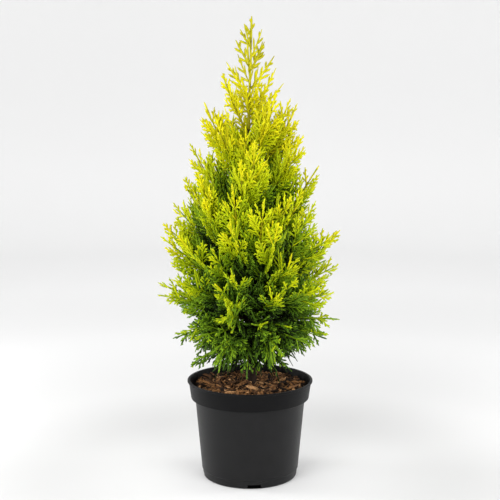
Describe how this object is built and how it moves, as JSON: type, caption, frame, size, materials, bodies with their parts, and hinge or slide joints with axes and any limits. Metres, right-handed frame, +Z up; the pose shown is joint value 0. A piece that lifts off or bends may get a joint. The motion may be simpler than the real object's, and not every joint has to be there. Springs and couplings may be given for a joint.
{
  "type": "potted leyland cypress",
  "caption": "Young golden leyland cypress in a tapered black nursery pot: a straight leader with tiers of feathery upswept sprays that droop at the foot, over bark mulch.",
  "frame": {"origin": "middle of the pot's flat underside", "axes": "+Z up along the trunk; -Y is the front, towards the viewer of the picture; +X to its right"},
  "size_m": [0.2846, 0.2873, 0.69],
  "materials": {
    "pot": "matte moulded",
    "potting_mix": "rough bark mulch",
    "bark": "fissured bark",
    "foliage_gold": "scale leaves",
    "foliage_green": "scale leaves"
  },
  "bodies": {
    "root": {"bough_21": "bark", "bough_22": "bark", "bough_23": "bark", "bough_24": "bark", "bough_25": "bark", "bough_27": "bark", "bough_28": "bark", "bough_31": "bark", "foliage_01": "foliage_green", "foliage_02": "foliage_green", "foliage_03": "foliage_green", "foliage_04": "foliage_green", "foliage_05": "foliage_green", "foliage_06": "foliage_green", "foliage_07": "foliage_green", "foliage_08": "foliage_green", "foliage_09": "foliage_green", "foliage_10": "foliage_green", "foliage_11": "foliage_green", "foliage_12": "foliage_green", "foliage_13": "foliage_green", "foliage_14": "foliage_green", "foliage_15": "foliage_green", "foliage_16": "foliage_green", "foliage_17": "foliage_gold", "foliage_18": "foliage_gold", "foliage_19": "foliage_gold", "foliage_20": "foliage_gold", "foliage_21": "foliage_gold", "foliage_22": "foliage_gold", "foliage_23": "foliage_gold", "foliage_24": "foliage_gold", "foliage_25": "foliage_gold", "foliage_26": "foliage_gold", "foliage_27": "foliage_gold", "foliage_28": "foliage_gold", "foliage_29": "foliage_gold", "foliage_30": "foliage_gold", "foliage_31": "foliage_gold", "foliage_32": "foliage_gold", "foliage_33": "foliage_gold", "foliage_34": "foliage_gold", "foliage_35": "foliage_gold", "foliage_36": "foliage_gold", "foliage_37": "foliage_gold", "foliage_38": "foliage_gold", "foliage_39": "foliage_gold", "foliage_40": "foliage_gold", "foliage_41": "foliage_gold", "foliage_42": "foliage_gold", "foliage_43": "foliage_gold", "foliage_44": "foliage_gold", "foliage_45": "foliage_gold", "foliage_46": "foliage_gold", "foliage_47": "foliage_gold", "foliage_48": "foliage_gold", "pot": "pot", "potting_mix": "potting_mix", "trunk": "bark"}
  },
  "joints": []
}
